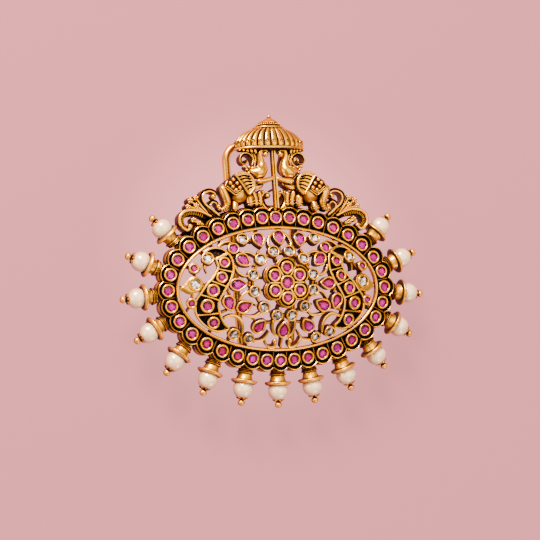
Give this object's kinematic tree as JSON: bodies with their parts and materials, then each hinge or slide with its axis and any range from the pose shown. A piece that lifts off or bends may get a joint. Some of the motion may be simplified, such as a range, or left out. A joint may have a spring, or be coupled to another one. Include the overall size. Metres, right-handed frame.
{
  "type": "hair brooch",
  "caption": "Oval pierced hair brooch with a stone-set border, flower boss, figured crest, radiating pearl drops and a two-legged hair fork behind.",
  "frame": {"origin": "on the surface that the fork lies on, under the middle of the brooch's outline", "axes": "+X to the wearer's-view right along the oval, +Y towards the canopy, +Z out of the face"},
  "size_m": [0.0918, 0.0826, 0.0193],
  "materials": {
    "antique_gold": "antique gold plate on cast brass, dark in the recesses",
    "fork_wire": "gold-plated drawn wire",
    "ruby_stone": "pink-red cut glass stone",
    "clear_stone": "clear cut glass stone on foil",
    "pearl": "cream imitation pearl, soft lustre"
  },
  "bodies": {
    "root": {"border_frame": "antique_gold", "lattice": "antique_gold", "flower": "antique_gold", "crest_frame": "antique_gold", "canopy": "antique_gold", "peacock_left": "antique_gold", "peacock_right": "antique_gold", "elephant_left": "antique_gold", "elephant_right": "antique_gold", "pearl_cup_1": "antique_gold", "pearl_cup_2": "antique_gold", "pearl_cup_3": "antique_gold", "pearl_cup_4": "antique_gold", "pearl_cup_5": "antique_gold", "pearl_cup_6": "antique_gold", "pearl_cup_7": "antique_gold", "pearl_cup_8": "antique_gold", "pearl_cup_9": "antique_gold", "pearl_cup_10": "antique_gold", "pearl_cup_11": "antique_gold", "pearl_cup_12": "antique_gold", "pearl_cup_13": "antique_gold", "pearl_cup_14": "antique_gold", "pearl_cup_15": "antique_gold", "end_pin_1": "antique_gold", "end_pin_2": "antique_gold", "end_pin_3": "antique_gold", "end_pin_4": "antique_gold", "end_pin_5": "antique_gold", "end_pin_6": "antique_gold", "end_pin_7": "antique_gold", "end_pin_8": "antique_gold", "end_pin_9": "antique_gold", "end_pin_10": "antique_gold", "end_pin_11": "antique_gold", "end_pin_12": "antique_gold", "end_pin_13": "antique_gold", "end_pin_14": "antique_gold", "end_pin_15": "antique_gold", "hair_fork": "fork_wire", "border_rubies": "ruby_stone", "round_rubies": "ruby_stone", "pear_rubies": "ruby_stone", "clear_stones": "clear_stone", "pearl_1": "pearl", "pearl_2": "pearl", "pearl_3": "pearl", "pearl_4": "pearl", "pearl_5": "pearl", "pearl_6": "pearl", "pearl_7": "pearl", "pearl_8": "pearl", "pearl_9": "pearl", "pearl_10": "pearl", "pearl_11": "pearl", "pearl_12": "pearl", "pearl_13": "pearl", "pearl_14": "pearl", "pearl_15": "pearl"}
  },
  "joints": []
}
